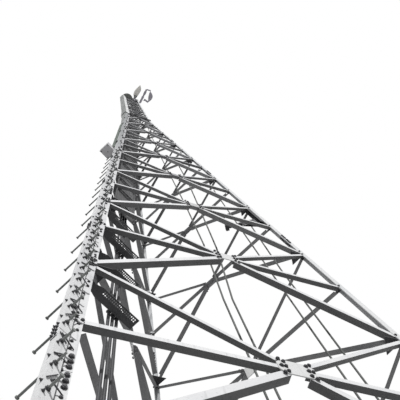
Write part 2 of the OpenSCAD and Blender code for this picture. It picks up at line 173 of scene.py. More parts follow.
def zinc_finish(name, fresh, dull, grime, rough=0.56, spangle=0.05, shine=0.18):
    """Hot-dip zinc: large dull clouds, a faint crystal spangle, run-off streaks and dark specks."""
    made = bpy.data.materials.new(name)
    made.use_nodes = True
    tree = made.node_tree
    shader = tree.nodes["Principled BSDF"]
    shader.inputs["Metallic"].default_value = 0.03
    shader.inputs["Specular IOR Level"].default_value = shine
    place = Tone(tree, shader.inputs["Base Color"]).node("ShaderNodeTexCoord", out="Object")
    long_place = place.node("ShaderNodeMapping", {}, {"Vector": place, "Scale": (9.0, 9.0, 0.8)})
    cloud = place.node("ShaderNodeTexNoise", {}, {"Vector": place, "Scale": 1.3, "Detail": 4.0})
    streak = place.node("ShaderNodeTexNoise", {}, {"Vector": long_place, "Scale": 2.2, "Detail": 5.0})
    fleck = place.node("ShaderNodeTexNoise", {}, {"Vector": place, "Scale": 46.0, "Detail": 3.0})
    crystal = place.node("ShaderNodeTexVoronoi", {}, {"Vector": place, "Scale": 42.0}, out="Color")
    crystal_tone = place.node("ShaderNodeSeparateColor", {}, {0: crystal})
    zinc = cloud.band(0.38, 0.66).paint((*fresh, 1.0), (*dull, 1.0))
    zinc = (crystal_tone * spangle).paint(zinc, (*grime, 1.0))
    zinc = (streak.band(0.56, 0.74) * 0.42).paint(zinc, (*grime, 1.0))
    zinc = (fleck.band(0.62, 0.72) * 0.55).paint(zinc, (*grime, 1.0))
    tree.links.new(zinc.socket, shader.inputs["Base Color"])
    roughness = cloud * 0.12 + streak * 0.1 + (rough - 0.11)
    tree.links.new(roughness.socket, shader.inputs["Roughness"])
    relief = place.node("ShaderNodeBump", {}, {"Height": fleck * 0.7 + crystal_tone * 0.3, "Strength": 0.25,
                                               "Distance": 0.0012})
    tree.links.new(relief.socket, shader.inputs["Normal"])
    return made


def dress(finish, *nodes):
    """Gives a finish to pieces whose shape is right as it came."""
    for node in nodes:
        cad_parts[node].data.materials.clear()
        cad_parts[node].data.materials.append(finish)


def fit_piece(name, mesh, finish, stands_for=()):
    """Makes a mesh, already in its place, into a piece of the tower."""
    mesh.materials.clear()
    mesh.materials.append(finish)
    piece = bpy.data.objects.new(name, mesh)
    bpy.context.scene.collection.objects.link(piece)
    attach(piece, STEEL_BODY)
    if stands_for:
        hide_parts(*stands_for)


def new_tree(name, inputs):
    """An empty geometry tree with its named inputs, and the sockets that they give."""
    tree = bpy.data.node_groups.new(name, "GeometryNodeTree")
    for label, kind in inputs.items():
        tree.interface.new_socket(label, in_out="INPUT", socket_type=f"NodeSocket{kind}")
    tree.interface.new_socket("Geometry", in_out="OUTPUT", socket_type="NodeSocketGeometry")
    sockets = tree.nodes.new("NodeGroupInput").outputs
    return tree, [Tone(tree, sockets[label]) for label in inputs]


def end_tree(tree, spread, finish):
    """Ends a tree: its copies are made real and get their finish."""
    real = spread.node("GeometryNodeRealizeInstances", {}, {"Geometry": spread})
    coated = spread.node("GeometryNodeSetMaterial", {}, {"Geometry": real, "Material": finish})
    tree.links.new(coated.socket, tree.nodes.new("NodeGroupOutput").inputs[0])
    return tree


HEX_ROUND, HEAD_TALL, NUT_TALL, END_LONG, END_MIDDLE = 0.92, 0.62, 0.80, 1.3, 0.85
WASHER_ROUND, WASHER_THICK, BOLT_SEED = 1.12, 0.16, 7


def bolt_tree():
    """Hexagon bolt in its hole, sized by its thread: head, washers, nut and ends, on every point."""
    tree, (points, thread, grip, tail, finish) = new_tree("bolt_and_nut", {
        "Geometry": "Geometry", "Thread": "Float", "Grip": "Float", "Tail": "Float", "Finish": "Material"})

    def round_bar(sides, radius, deep, middle):
        """A bar of so many sides along the bolt, its middle at that height."""
        bar = thread.node("GeometryNodeMeshCylinder", {"fill_type": "NGON"},
                          {"Vertices": sides, "Radius": radius, "Depth": deep})
        shift = thread.node("ShaderNodeCombineXYZ", {}, {"Z": middle})
        return thread.node("GeometryNodeTransform", {}, {"Geometry": bar, "Translation": shift})

    hexagon, washer, washer_deep = thread * HEX_ROUND, thread * WASHER_ROUND, thread * WASHER_THICK
    parts = [
        round_bar(6, hexagon, thread * HEAD_TALL, thread * (WASHER_THICK + HEAD_TALL / 2)),
        round_bar(12, washer, washer_deep, washer_deep * 0.5),
        round_bar(8, thread * 0.5, tail, tail * 0.5 + washer_deep),
        round_bar(6, hexagon, thread * NUT_TALL, 0.0 - (grip + thread * (WASHER_THICK + NUT_TALL / 2))),
        round_bar(12, washer, washer_deep, 0.0 - (grip + washer_deep * 0.5)),
        round_bar(8, thread * 0.5, thread * END_LONG, 0.0 - (grip + thread * END_MIDDLE)),
    ]
    joined = tree.nodes.new("GeometryNodeJoinGeometry")
    for part in parts:
        tree.links.new(part.socket, joined.inputs[0])
    axis = points.node("GeometryNodeInputNamedAttribute", {"data_type": "FLOAT_VECTOR"}, {"Name": "axis"})
    turned = points.node("FunctionNodeAlignRotationToVector", {"axis": "Z"}, {"Vector": axis}, out="Rotation")
    spin = points.node("FunctionNodeRandomValue", {"data_type": "FLOAT"},
                       {2: 0.0, 3: math.tau, "Seed": BOLT_SEED}, out=1)
    own_spin = points.node("FunctionNodeAxisAngleToRotation", {}, {"Axis": (0.0, 0.0, 1.0), "Angle": spin})
    both = points.node("FunctionNodeRotateRotation", {"rotation_space": "LOCAL"},
                       {"Rotation": turned, "Rotate By": own_spin})
    spread = points.node("GeometryNodeInstanceOnPoints", {},
                         {"Points": points, "Instance": Tone(tree, joined.outputs[0]), "Rotation": both})
    return end_tree(tree, spread, finish)


def grown_mesh(name, mesh, tree, sizes):
    """Runs a geometry tree on a mesh and returns the result as a plain mesh."""
    carrier = bpy.data.objects.new(name + "_carrier", mesh)
    bpy.context.scene.collection.objects.link(carrier)
    tool = carrier.modifiers.new("tool", "NODES")
    tool.node_group = tree
    for item in tree.interface.items_tree:
        if item.item_type == "SOCKET" and item.in_out == "INPUT" and item.name in sizes:
            tool[item.identifier] = sizes[item.name]
    view = bpy.context.evaluated_depsgraph_get()
    plain = bpy.data.meshes.new_from_object(carrier.evaluated_get(view))
    carrier.modifiers.remove(tool)
    bpy.data.objects.remove(carrier)
    plain.name = name
    return plain


BOLT_TREE = bolt_tree()


def bolt_set(name, seats, thread, grip, finish, tail=None):
    """Bolts at seats, each seat being its frame, its point there and the way its head looks there."""
    cloud = bpy.data.meshes.new(name + "_seats")
    cloud.from_pydata([place @ Vector(point) for place, point, _ in seats], [], [])
    axis = cloud.attributes.new("axis", "FLOAT_VECTOR", "POINT")
    looks = [(place.to_3x3() @ Vector(way)).normalized() for place, _, way in seats]
    axis.data.foreach_set("vector", [number for look in looks for number in look])
    mesh = grown_mesh(name, cloud, BOLT_TREE, {"Thread": thread, "Grip": grip, "Finish": finish,
                                               "Tail": thread * 0.8 if tail is None else tail})
    fit_piece(name, mesh, finish)


pale_zinc = zinc_finish("pale_zinc", (0.72, 0.72, 0.72), (0.63, 0.64, 0.65), (0.42, 0.43, 0.43))
# Bolts, nuts, rivets and the stile's tie rods are near-black: partly a darker zinc, partly painted shade
# standing for bolts' dark marks and shadows.
bolt_and_shade_zinc = zinc_finish("bolt_and_shade_zinc", (0.085, 0.085, 0.09), (0.065, 0.065, 0.07), (0.03, 0.03, 0.03),
                        rough=0.5)
dress(pale_zinc, "foot_a", "foot_b", "foot_c")

ANCHOR_THREAD, ANCHOR_OUT, FOOT_THICK = 0.030, 0.135, 0.025
anchor_seats = []
for turn in LEG_TURN:
    foot = set_at(ANCHOR_RING * math.cos(turn), ANCHOR_RING * math.sin(turn), 0)
    anchor_seats += [(foot, (x, y, FOOT_THICK), (0, 0, 1))
                     for x in (-ANCHOR_OUT, ANCHOR_OUT) for y in (-ANCHOR_OUT, ANCHOR_OUT)]
bolt_set("anchor_nuts", anchor_seats, ANCHOR_THREAD, -FOOT_THICK * 2, bolt_and_shade_zinc, tail=0.062)

# ---- Legs ----
# Three corner legs of 60 degree angle section, pressed from plate and galvanised, with splice plates
# bolted inside both flanges at every cut and three-cornered stiffeners welded in at every level.
HEEL_FOOT, HEEL_BEND, HEEL_TOP = 2.419, 0.587, 0.490
BEND_HEIGHT, TOP_HEIGHT = 28.0, 38.08
SLOPE_LOW = (HEEL_FOOT - HEEL_BEND) / BEND_HEIGHT
SLOPE_HIGH = (HEEL_BEND - HEEL_TOP) / (TOP_HEIGHT - BEND_HEIGHT)
LEAN_LOW, LEAN_HIGH = math.atan(SLOPE_LOW), math.atan(SLOPE_HIGH)
PANEL, LEVEL_FIRST = 2.8, 4.2
LEVELS = [LEVEL_FIRST + PANEL * n for n in range(9)]
FLANGE_TURN = math.atan(math.tan(math.radians(30)) / math.cos(LEAN_LOW))
LEG_THICK, SPLICE_THICK = 0.010, 0.008
UPWARDS = (0, 0, 1)
SPLICE_HEIGHTS = [4.9 + 2 * PANEL * k for k in range(4)]
SPLICE_COLUMN, SPLICE_ROWS = 0.060, (-0.190, -0.120, -0.050, 0.050, 0.120, 0.190)


def paint_shade_by_facing(material, share, lit_way=towards_sun, start=-0.10, full=-0.40):
    """Paints shade into a finish: darkens it to a share of its colour on the sides that look away from its
    lit way.
    """
    tree = material.node_tree
    old = tree.nodes["Principled BSDF"].inputs["Base Color"].links[0]
    lit_colour = Tone(tree, old.from_socket)
    way = lit_colour.node("ShaderNodeNewGeometry", out="Normal")
    facing = lit_colour.node("ShaderNodeVectorMath", {"operation": "DOT_PRODUCT"},
                        {0: way, 1: tuple(lit_way)}, out="Value")
    shaded = lit_colour.node("ShaderNodeVectorMath", {"operation": "SCALE"}, {0: lit_colour, "Scale": share})
    tree.links.new(facing.band(start, full).paint(lit_colour, shaded).socket, old.to_socket)


def height_fade(material, low, high, over):
    """Lays a second tone over a finish, more of it the higher the surface stands."""
    tree = material.node_tree
    old = tree.nodes["Principled BSDF"].inputs["Base Color"].links[0]
    lower_tone = Tone(tree, old.from_socket)
    place = lower_tone.node("ShaderNodeTexCoord", out="Object")
    height = lower_tone.node("ShaderNodeSeparateXYZ", {}, {0: place}, out="Z")
    tree.links.new(height.band(low, high).paint(lower_tone, (*over, 1.0)).socket, old.to_socket)
    return material


def leg_place(leg, top=False):
    """A leg's own frame: x away from the tower's middle, y round it, z up along the heel."""
    heel, lean, height = (HEEL_BEND, LEAN_HIGH, BEND_HEIGHT) if top else (HEEL_FOOT, LEAN_LOW, 0.0)
    out = set_at(0, 0, height, LEG_TURN[leg]) @ Matrix.Translation((heel, 0, 0))
    return out @ Matrix.Rotation(-lean, 4, "Y")


def flange_place(leg, side, height):
    """On the face of a leg flange: x along the flange from the heel, y square to it, z up the leg."""
    lift = Matrix.Translation((0, 0, height / math.cos(LEAN_LOW)))
    return leg_place(leg) @ lift @ Matrix.Rotation(side * (math.pi - FLANGE_TURN), 4, "Z")


leg_zinc = zinc_finish("leg_zinc", (0.70, 0.70, 0.70), (0.62, 0.63, 0.64), (0.30, 0.31, 0.31))
# Painted shade: all three legs keep 22% of their colour on the faces that look downward.
paint_shade_by_facing(leg_zinc, 0.22, UPWARDS)
climb_leg_zinc = zinc_finish("climb_leg_zinc", (0.70, 0.70, 0.70), (0.62, 0.62, 0.63), (0.30, 0.31, 0.31),
                             spangle=0.10)
paint_shade_by_facing(height_fade(climb_leg_zinc, 9.0, 18.0, (0.34, 0.34, 0.35)), 0.22, UPWARDS)
dress(leg_zinc, "leg_b_lower", "leg_c_lower", "leg_b_upper", "leg_c_upper", "top_legs", "splices")
dress(climb_leg_zinc, "leg_a_lower", "leg_a_upper")

splice_seats = []
for leg in range(3):
    for height in SPLICE_HEIGHTS:
        for side in (-1, 1):
            place = flange_place(leg, side, height)
            splice_seats += [(place, (SPLICE_COLUMN, 0, row), (0, -side, 0)) for row in SPLICE_ROWS]
bolt_set("splice_bolts", splice_seats, 0.020, LEG_THICK + SPLICE_THICK, bolt_and_shade_zinc)

# Painted shade: stiffeners, duct straps, the side arm and its bracket are near-black zinc for the deep shade
# they sit in.
painted_deep_shade = zinc_finish("painted_deep_shade", (0.08, 0.08, 0.084), (0.06, 0.06, 0.064), (0.03, 0.03, 0.03),
                         rough=0.66)
dress(painted_deep_shade, "leg_stiffeners")

# ---- Braced faces ----
# Galvanised equal angles, cropped, punched and bolted: at the legs through the flange, at the panel
# centre through a clipped gusset plate, backed on each face by six short angles. Painted shade darkens
# the sides of face AB that look away from the sun. The other two faces are a darker copy of the zinc as
# painted shade, darkened again on their undersides and on the sides that look away from face AB.
TILT_LOW, TILT_HIGH = math.atan(SLOPE_LOW / 2), math.atan(SLOPE_HIGH / 2)
END_IN, END_UP, GUSSET_FRONT, LOWEST_BRACE, HALF_DROP = 0.068, 0.062, -0.001, 0.3, 0.060
LEG_BOLT_ALONG, GUSSET_BOLTS_ACROSS, GUSSET_GRIP = 0.010, (0.098, 0.136), 0.016
BAR_THREAD, GUSSET_THREAD, BAR_THICK = 0.016, 0.018, 0.007


def face_place(face, top=False):
    """A face's own frame: x to the right, y up the slope, z straight out of the face."""
    heel, tilt, height = (HEEL_BEND, TILT_HIGH, BEND_HEIGHT) if top else (HEEL_FOOT, TILT_LOW, 0.0)
    out = set_at(0, 0, height, math.radians(120 * face)) @ Matrix.Translation((0, -heel / 2, 0))
    return out @ Matrix.Rotation(math.pi / 2 - tilt, 4, "X")


def half_width(height):
    """Half the tower's width at a height, from heel to heel along a face."""
    if height <= BEND_HEIGHT:
        return math.cos(math.radians(30)) * (HEEL_FOOT - SLOPE_LOW * height)
    return math.cos(math.radians(30)) * (HEEL_BEND - SLOPE_HIGH * (height - BEND_HEIGHT))


def cross_height(low, high):
    """Where a panel's diagonals cross."""
    return low + (high - low) * half_width(low) / (half_width(low) + half_width(high))


def bar_bolts(face, start, end, near, far):
    """Seats for a bar's bolts: so far along from its start, and back from its end, in a face's frame."""
    way = (end - start).normalized()
    points = [start + way * step for step in near] + [end - way * step for step in far]
    return [(face, (point.x, point.y, 0.0), (0, 0, 1)) for point in points]


# Shares of colour kept as painted shade: per part on face AB's sides away from the sun, and on the other
# faces' undersides.
FACE_SHADE = {"low": 0.20, "mid": 0.28, "high": 0.46}
AWAY_FROM_AB, UNDER_SHADE = (0, 0.86, -0.51), 0.46
for part, share in FACE_SHADE.items():
    face_zinc = zinc_finish(f"face_zinc_{part}", (0.75, 0.75, 0.75), (0.68, 0.68, 0.69), (0.40, 0.40, 0.41))
    paint_shade_by_facing(height_fade(face_zinc, 10.0, 24.0, (0.50, 0.50, 0.51)), share)
    dress(face_zinc, f"face_ab_{part}")
    # The other two faces use a darker copy of the zinc as painted shade, with more painted shade by facing.
    inner_shaded_zinc = zinc_finish(f"inner_shaded_zinc_{part}", (0.66, 0.66, 0.66), (0.58, 0.58, 0.59),
                             (0.30, 0.30, 0.31), shine=0.03)
    paint_shade_by_facing(inner_shaded_zinc, 0.17 + share / 8, AWAY_FROM_AB)
    paint_shade_by_facing(inner_shaded_zinc, UNDER_SHADE, UPWARDS)
    dress(inner_shaded_zinc, f"face_bc_{part}", f"face_ca_{part}")
plate_zinc = zinc_finish("plate_zinc", (0.72, 0.72, 0.71), (0.66, 0.66, 0.66), (0.44, 0.44, 0.44))
height_fade(plate_zinc, 9.5, 13.0, (0.30, 0.30, 0.31))
dress(plate_zinc, "gussets_ab", "gussets_bc", "gussets_ca")


def add_block(mesh, place, low, high, edge=0.0015):
    """Adds a block with softened edges between two corners of a frame to a mesh being built."""
    size = Vector(high) - Vector(low)
    middle = (Vector(high) + Vector(low)) / 2
    stretch = Matrix.Translation(middle) @ Matrix.Diagonal((*size, 1))
    fresh = bmesh.ops.create_cube(mesh, size=1.0, matrix=place @ stretch)
    rims = list(dict.fromkeys(rim for corner in fresh["verts"] for rim in corner.link_edges))
    bmesh.ops.bevel(mesh, geom=rims, offset=min(edge, min(size) * 0.3), segments=1, affect="EDGES")


def close_mesh(name, mesh):
    """Turns a mesh being built into a plain mesh with its faces outwards."""
    bmesh.ops.recalc_face_normals(mesh, faces=mesh.faces[:])
    done = bpy.data.meshes.new(name)
    mesh.to_mesh(done)
    mesh.free()
    return done


def fit_built(name, mesh, finish, stands_for=(), smooth=False):
    """Closes a mesh being built and makes it a piece of the tower."""
    done = close_mesh(name, mesh)
    done.polygons.foreach_set("use_smooth", [smooth] * len(done.polygons))
    fit_piece(name, done, finish, stands_for)


JOINT_HALF, JOINT_FRONT, JOINT_THICK, JOINT_GAP = 0.0792, -0.0104, 0.007, 0.0002
HEAVY_JOINT, LIGHT_JOINT, LIGHT_ABOVE = (0.080, 0.0375), (0.074, 0.035), 18.0
joints = bmesh.new()
for face in range(3):
    place = face_place(face)
    for low in LEVELS[2:8]:
        rise = cross_height(low, low + PANEL) / math.cos(TILT_LOW)
        deep, half = HEAVY_JOINT if low < LIGHT_ABOVE else LIGHT_JOINT
        web_back = JOINT_FRONT - JOINT_THICK
        add_block(joints, place, (-JOINT_HALF, rise - half, -deep),
                  (JOINT_HALF, rise - half + JOINT_THICK, web_back - JOINT_GAP))
        add_block(joints, place, (-JOINT_HALF, rise - half, web_back), (JOINT_HALF, rise + half, JOINT_FRONT))
fit_built("joint_angles", joints, face_zinc)

PANELS = [(LOWEST_BRACE, LEVELS[0], False)] + [(LEVELS[n], LEVELS[n + 1], False) for n in range(8)]
PANELS += [(LEVELS[8], BEND_HEIGHT, True)]
for face, pair in enumerate(("ab", "bc", "ca")):
    place = face_place(face)
    leg_seats, gusset_seats = [], []
    for low, high, is_half in PANELS:
        middle = high - HALF_DROP if is_half else cross_height(low, high)
        centre = Vector((0, middle / math.cos(TILT_LOW)))
        wide = half_width(middle) - END_IN
        corners = [Vector((s * (half_width(low) - END_IN), low / math.cos(TILT_LOW) + END_UP))
                   for s in (-1, 1)]
        if not is_half:
            corners += [Vector((s * (half_width(high) - END_IN), high / math.cos(TILT_LOW) - END_UP))
                        for s in (-1, 1)]
        corners += [Vector((s * wide, centre.y)) for s in (-1, 1)]
        for corner in corners:
            leg_seats += bar_bolts(place, corner, centre, (LEG_BOLT_ALONG,), ())
            level_part = abs((corner - centre).normalized().x)
            from_centre = [across / level_part for across in GUSSET_BOLTS_ACROSS]
            gusset_seats += bar_bolts(place, corner, centre, (), from_centre)
    on_gusset = [(p, (x, y, GUSSET_FRONT), way) for p, (x, y, z), way in gusset_seats]
    bolt_set(f"leg_bolts_{pair}", leg_seats, BAR_THREAD, LEG_THICK + BAR_THICK, bolt_and_shade_zinc)
    bolt_set(f"gusset_bolts_{pair}", on_gusset, GUSSET_THREAD, GUSSET_GRIP, bolt_and_shade_zinc)

# ---- Top shaft faces, bend and top frames ----
# Lighter galvanised angles in the same way on the slim shaft. Below it a thick triangular frame ties
# the two tapers together, and on its top lies a thin one with a round landing and a hatch.
TOP_START, TOP_MARGIN, TOP_END_IN, TOP_LEG_THICK, TOP_BAR_THICK = 0.120, 0.200, 0.058, 0.008, 0.005
TOP_STEP = (TOP_HEIGHT - BEND_HEIGHT - TOP_MARGIN) / 9
FRAME_BOLT_RINGS = ((BEND_HEIGHT + 0.009, 0.520), (TOP_HEIGHT, 0.440))
dark_zinc = zinc_finish("dark_zinc", (0.42, 0.42, 0.43), (0.30, 0.30, 0.31), (0.14, 0.14, 0.15), rough=0.62)
# Painted shade: shaft angles and bend frame keep 35% of their colour on sides that look away from the sun.
paint_shade_by_facing(dark_zinc, 0.35)
dress(dark_zinc, "top_face_ab", "top_face_bc", "top_face_ca", "bend_frame")
landing_zinc = zinc_finish("landing_zinc", (0.46, 0.47, 0.45), (0.33, 0.34, 0.32), (0.16, 0.17, 0.15))
# Painted shade: the top frame's downward faces keep 68% of their colour.
paint_shade_by_facing(landing_zinc, 0.68, UPWARDS)
dress(landing_zinc, "top_frame")
top_seats = []
for face in range(3):
    place = face_place(face, top=True)
    for n in range(10):
        height = BEND_HEIGHT + TOP_START + n * TOP_STEP
        reach, along = half_width(height) - TOP_END_IN, (height - BEND_HEIGHT) / math.cos(TILT_HIGH)
        top_seats += [(place, (s * reach, along + rise, 0), (0, 0, 1))
                      for s in (-1, 1) for rise in (-0.012, 0.012)]
bolt_set("top_bolts", top_seats, 0.009, TOP_LEG_THICK + TOP_BAR_THICK, bolt_and_shade_zinc)
frame_seats = []
for turn in LEG_TURN:
    for height, ring in FRAME_BOLT_RINGS:
        corner = set_at(0, 0, height, turn)
        frame_seats += [(corner, (ring, y, 0), (0, 0, 1)) for y in (-0.020, 0.020)]
bolt_set("frame_bolts", frame_seats, 0.012, 0.020, bolt_and_shade_zinc, tail=0.006)

# ---- Climbing leg ----
# A galvanised channel stile stands off leg A on notched plates, with headed step bolts through both
# its walls and a nut at each side. Clamp bolts sit on wall and nose, and thin rods tie the wall to
# the leg's flange; above 8.6 m only every second step has bolts and rods of this kind.
NOSE, STILE_HALF, STILE_WALL, STEP_SEAT = 0.090, 0.0345, 0.005, 0.050
PLATE_FIRST, PLATE_PITCH, PLATE_COUNT = 2.900, 1.400, 18
CLAMP_SPOTS, NOSE_LIFT, STEP_LIFTS = ((0.074, -0.050), (0.030, 0.110)), 0.060, (0.040, 0.150)
PLATE_WALL_LIFTS, PLATE_FLANGE_LIFTS = (-0.045, 0.055), (-0.060, 0.0, 0.075)
LEVEL_COLUMNS, LEVEL_LIFTS = (0.034, 0.058), (-0.085, -0.035)
STEP_FIRST, STEP_PITCH, STEP_COUNT, SPARSE_ABOVE = 3.103, 0.2925, 41, 8.6
climb = leg_place(0)
up = 1 / math.cos(LEAN_LOW)

stile_zinc = zinc_finish("stile_zinc", (0.82, 0.82, 0.82), (0.75, 0.75, 0.76), (0.30, 0.30, 0.31),
                         spangle=0.12)
height_fade(stile_zinc, 9.0, 20.0, (0.34, 0.35, 0.355))
# Painted shade: the stile's downward faces keep a quarter of their colour.
paint_shade_by_facing(height_fade(stile_zinc, 27.8, 28.6, (0.84, 0.84, 0.83)), 0.25, UPWARDS)
dress(stile_zinc, "guard_rail", "rail_stand_offs")
dull_rod = zinc_finish("dull_rod", (0.27, 0.28, 0.27), (0.20, 0.21, 0.20), (0.10, 0.10, 0.09), rough=0.5)
dress(dull_rod, "step_bolts")

wall_seats, tail_seats, clamp_seats, flange_seats = [], [], [], []
for n in range(STEP_COUNT):
    level = STEP_FIRST + n * STEP_PITCH
    height = level * up
    wall_seats += [(climb, (STEP_SEAT, s * STILE_HALF, height), (0, s, 0)) for s in (-1, 1)]
    if n % 2 == 0 and height < SPARSE_ABOVE:
        tail_seats.append((climb, (STEP_SEAT, STILE_HALF, height), (0, 1, 0)))
    if n % 2 and height > SPARSE_ABOVE:
        continue
    clamp_seats += [(climb, (along, STILE_HALF, height + lift), (0, 1, 0)) for along, lift in CLAMP_SPOTS]
    clamp_seats.append((climb, (NOSE, 0.020, height + NOSE_LIFT), (1, 0, 0)))
    place = flange_place(0, 1, level)
    flange_seats += [(place, (0.020 + 0.018 * (n % 3), 0, lift), (0, -1, 0)) for lift in STEP_LIFTS]
for k in range(PLATE_COUNT):
    level = PLATE_FIRST + PLATE_PITCH * k
    wall_seats += [(climb, (0.022, STILE_HALF, level * up + lift), (0, 1, 0)) for lift in PLATE_WALL_LIFTS]
    place = flange_place(0, 1, level)
    flange_seats += [(place, (0.030 + 0.030 * (k % 2), 0, lift), (0, -1, 0)) for lift in PLATE_FLANGE_LIFTS]
for level in LEVELS:
    place = flange_place(0, 1, level)
    flange_seats += [(place, (along, 0, lift), (0, -1, 0)) for along in LEVEL_COLUMNS for lift in LEVEL_LIFTS]
bolt_set("step_nuts", wall_seats, 0.018, STILE_WALL, bolt_and_shade_zinc)
bolt_set("step_tails", tail_seats, 0.017, STILE_WALL, dull_rod, tail=0.092)
bolt_set("clamp_bolts", clamp_seats, 0.011, STILE_WALL, bolt_and_shade_zinc, tail=0.016)
bolt_set("climbing_flange_bolts", flange_seats, 0.013, LEG_THICK, bolt_and_shade_zinc)


def add_rod(mesh, start, end, radius, sides=8):
    """Adds a round bar between two points to a mesh being built."""
    along = end - start
    turn = along.to_track_quat("Z", "Y").to_matrix().to_4x4()
    bmesh.ops.create_cone(mesh, cap_ends=True, segments=sides, radius1=radius, radius2=radius,
                          depth=along.length, matrix=Matrix.Translation((start + end) / 2) @ turn)


TIE_RADIUS, BRACE_RADIUS, TIE_START = 0.0050, 0.0042, 0.100
TIE_LIFTS, BRACE_LIFTS = (0.060, -0.050, 0.020, -0.075), (0.055, -0.085, 0.095)
hooks = bmesh.new()
for n in range(STEP_COUNT):
    level = STEP_FIRST + TIE_START + n * STEP_PITCH
    if n % 2 and level > SPARSE_ABOVE:
        continue
    height = level * up
    tie_start = climb @ Vector((0.078 - 0.014 * (n % 3), STILE_HALF + 0.004, height))
    tie_end = flange_place(0, 1, level) @ Vector((0.050 + 0.014 * (n % 2), -0.005, TIE_LIFTS[n % 4]))
    add_rod(hooks, tie_start, tie_end, TIE_RADIUS)
    brace_start = climb @ Vector((0.080, STILE_HALF + 0.006, height - 0.012))
    brace_end = climb @ Vector((0.014, STILE_HALF + 0.006, height + BRACE_LIFTS[n % 3]))
    add_rod(hooks, brace_start, brace_end, BRACE_RADIUS)
fit_built("stile_hooks", hooks, bolt_and_shade_zinc)

# ---- Stile joints ----
# At each stile joint a lapped galvanised strip lies over the channel's nose and covers the gap
# between two lengths; four pairs of short bolts hold it.
STILE_CUTS = [2.5 + PANEL * k for k in range(1, 9)]
STRIP_FRONT = NOSE + 0.0055
strips = bmesh.new()
for cut in STILE_CUTS:
    height = cut * up
    add_block(strips, climb, (NOSE + 0.0005, -0.030, height - 0.110), (STRIP_FRONT, 0.030, height + 0.102))
fit_built("stile_strips", strips, stile_zinc)
joint_seats = [(climb, (STRIP_FRONT, y, cut * up + lift), (1, 0, 0))
               for cut in STILE_CUTS for y in (-0.016, 0.016) for lift in (-0.080, -0.030, 0.022, 0.072)]
bolt_set("joint_bolts", joint_seats, 0.012, 0.010, bolt_and_shade_zinc, tail=0.016)

# ---- Feeder run ----
# Folded steel trays, near-black as painted shade of their undersides and lighter higher up, bolted to
# the inside of leg A every 0.93 m and punched with two rows of small round holes. A folded sheet in
# lengths runs up through the higher ones, and three jacketed feeders are clamped along one edge.
TRAY_STEP, TRAY_FIRST, TRAY_ROOT, TRAY_COUNT, LOW_TRAYS = PANEL / 3, 6.533, 0.082, 23, 11
TRAY_LONG, TRAY_HALF, TRAY_ROOT_HALF, TRAY_TAPER, TRAY_THICK = 0.556, 0.058, 0.024, 0.108, 0.006
TRAY_START, TRAY_END, TRAY_RIM = 0.006, TRAY_LONG - 0.002, TRAY_HALF - 0.0002
HOLE_PITCH, HOLE_ROUND = 0.022, 0.0076
ROWS = (-1.0, -0.80, -0.45, -0.10, 0.45, 1.0)
HOLED_ROWS, HOLED_COLUMNS = (1, 2), range(6, 24)


def tray_place(k):
    """A tray's own level frame: x inwards from the leg along its middle, z up."""
    rise = Matrix.Translation((-TRAY_ROOT, 0, (TRAY_FIRST + k * TRAY_STEP) / math.cos(LEAN_LOW)))
    return climb @ rise @ Matrix.Rotation(math.pi, 4, "Z") @ Matrix.Rotation(-LEAN_LOW, 4, "Y")


def punched_sheet():
    """One tray: a tapering sheet of cells, some with a round hole, thickened, with lips and a root plate."""
    sheet = bmesh.new()
    columns = round((TRAY_LONG - TRAY_START) / HOLE_PITCH)
    known = {}

    def corner(along, across):
        """The sheet's corner, or middle of an edge, so many cells along and rows across."""
        x = TRAY_START + along * (TRAY_LONG - TRAY_START) / columns
        half = TRAY_HALF
        if x <= TRAY_TAPER:
            half = TRAY_ROOT_HALF + (TRAY_HALF - TRAY_ROOT_HALF) * (x / TRAY_TAPER)
        low = int(across)
        row = ROWS[low] if low == across else (ROWS[low] + ROWS[low + 1]) / 2
        key = (round(along * 2), round(across * 2))
        if key not in known:
            known[key] = sheet.verts.new((x, row * half, 0.0))
        return known[key]

    for i in range(columns):
        for j in range(len(ROWS) - 1):
            rim = [corner(i, j), corner(i + 0.5, j), corner(i + 1, j), corner(i + 1, j + 0.5),
                   corner(i + 1, j + 1), corner(i + 0.5, j + 1), corner(i, j + 1), corner(i, j + 0.5)]
            if i not in HOLED_COLUMNS or j not in HOLED_ROWS:
                sheet.faces.new(rim)
                continue
            middle = sum((v.co for v in rim), Vector()) / 8
            inner = [sheet.verts.new(middle + (v.co - middle).normalized() * HOLE_ROUND) for v in rim]
            for a in range(8):
                sheet.faces.new((rim[a], rim[(a + 1) % 8], inner[(a + 1) % 8], inner[a]))
    bmesh.ops.recalc_face_normals(sheet, faces=sheet.faces[:])
    if sheet.faces[0].normal.z > 0:
        bmesh.ops.reverse_faces(sheet, faces=sheet.faces[:])
    raised = bmesh.ops.extrude_face_region(sheet, geom=sheet.faces[:], use_keep_orig=True)
    bmesh.ops.translate(sheet, verts=[v for v in raised["geom"] if isinstance(v, bmesh.types.BMVert)],
                        vec=(0, 0, TRAY_THICK))
    bmesh.ops.recalc_face_normals(sheet, faces=sheet.faces[:])
    flat = Matrix.Identity(4)
    add_block(sheet, flat, (0.120, TRAY_HALF - 0.0045, 0.004), (TRAY_END, TRAY_RIM, 0.028), 0.001)
    add_block(sheet, flat, (0.130, -TRAY_RIM, -0.004), (TRAY_END, -TRAY_HALF + 0.004, 0.004), 0.001)
    add_block(sheet, flat, (0.0005, -0.050, -0.029), (0.0080, 0.050, 0.030))
    return close_mesh("tray", sheet)


def tray_tree(pattern):
    """Stands a copy of one tray on every point, all turned the same way."""
    tree, (points, turn, finish) = new_tree("tray_row", {
        "Geometry": "Geometry", "Turn": "Rotation", "Finish": "Material"})
    tray = points.node("GeometryNodeObjectInfo", {"transform_space": "ORIGINAL"}, {"Object": pattern},
                       out="Geometry")
    row = points.node("GeometryNodeInstanceOnPoints", {},
                      {"Points": points, "Instance": tray, "Rotation": turn})
    return end_tree(tree, row, finish)


